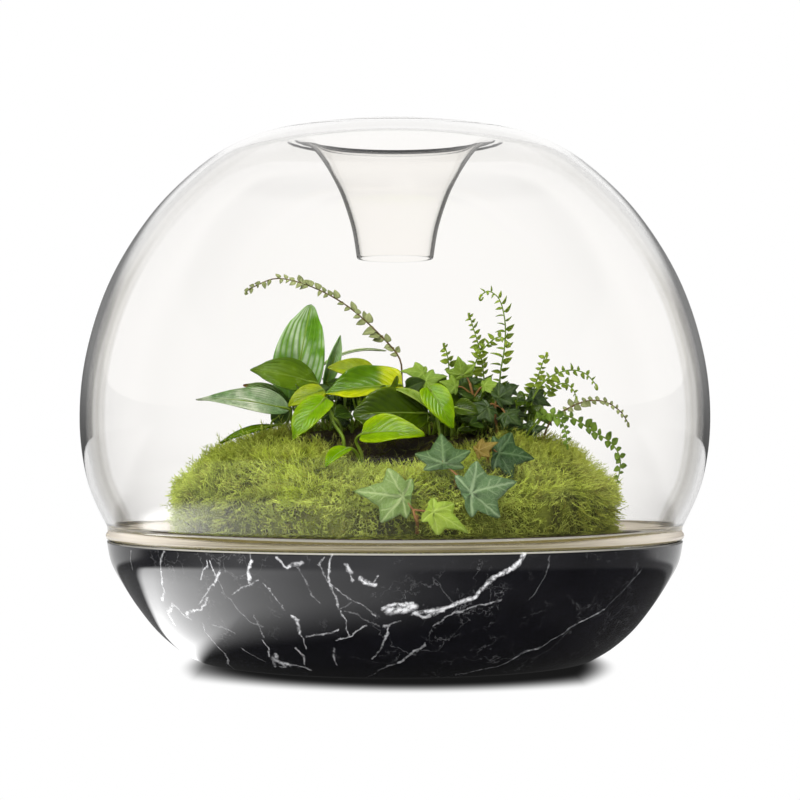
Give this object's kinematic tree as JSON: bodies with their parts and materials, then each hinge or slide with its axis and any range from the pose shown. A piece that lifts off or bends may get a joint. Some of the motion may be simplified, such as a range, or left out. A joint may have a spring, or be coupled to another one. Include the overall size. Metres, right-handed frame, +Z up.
{
  "type": "glass plant terrarium",
  "caption": "Rounded glass dome, drawn down at its top into an open funnel, standing on the rim of a round stone bowl planted with moss, ferns, ivy and broad-leaved plants.",
  "frame": {"origin": "middle of the bowl's flat base, on the surface that it stands on", "axes": "+Z up along the axis of the bowl and the dome; -Y towards the front of the planting, +X to its right"},
  "size_m": [0.3402, 0.3402, 0.286],
  "materials": {
    "marble": "polished, dark with thin white veins",
    "dome_glass": "clear, blown, smooth",
    "soil": "dark crumbly potting soil",
    "moss": "matt feathery carpet, yellow-green",
    "lily_leaf": "glossy leaf, deep green with paler ribs",
    "striped_leaf": "satin leaf, pale stripes on grey-green",
    "pothos_leaf": "glossy waxy leaf, lime green",
    "ivy_leaf": "satin leaf, green with pale veins",
    "fern_leaf": "satin leaflet, yellow-green"
  },
  "bodies": {
    "root": {"stone_bowl": "marble", "glass_dome": "dome_glass", "glass_funnel": "dome_glass", "soil": "soil", "moss": "moss", "lily_leaf_upright": "lily_leaf", "lily_leaf_broad": "lily_leaf", "lily_leaf_striped": "lily_leaf", "lily_leaf_low": "lily_leaf", "lily_leaf_rolled": "lily_leaf", "lily_leaf_creeping": "lily_leaf", "lily_leaf_young": "lily_leaf", "strap_leaf": "striped_leaf", "pothos_leaf_top": "pothos_leaf", "pothos_leaf_back": "pothos_leaf", "pothos_leaf_hanging": "pothos_leaf", "pothos_leaf_front": "pothos_leaf", "pothos_leaf_rim": "pothos_leaf", "pothos_leaf_right": "pothos_leaf", "pothos_leaf_small": "pothos_leaf", "pothos_leaf_yellow": "pothos_leaf", "pothos_leaf_left": "pothos_leaf", "pothos_leaf_dropping": "pothos_leaf", "ivy_front": "ivy_leaf", "ivy_right": "ivy_leaf", "ivy_far": "ivy_leaf", "ivy_tall": "ivy_leaf", "ivy_pale": "ivy_leaf", "ivy_shaded": "ivy_leaf", "fern_long_left": "fern_leaf", "fern_upright": "fern_leaf", "fern_inner": "fern_leaf", "fern_young": "fern_leaf", "fern_short": "fern_leaf", "fern_small_upright": "fern_leaf", "fern_right_upper": "fern_leaf", "fern_right_middle": "fern_leaf", "fern_right_arch": "fern_leaf", "fern_right_fall": "fern_leaf", "fern_right_trail": "fern_leaf"}
  },
  "joints": []
}
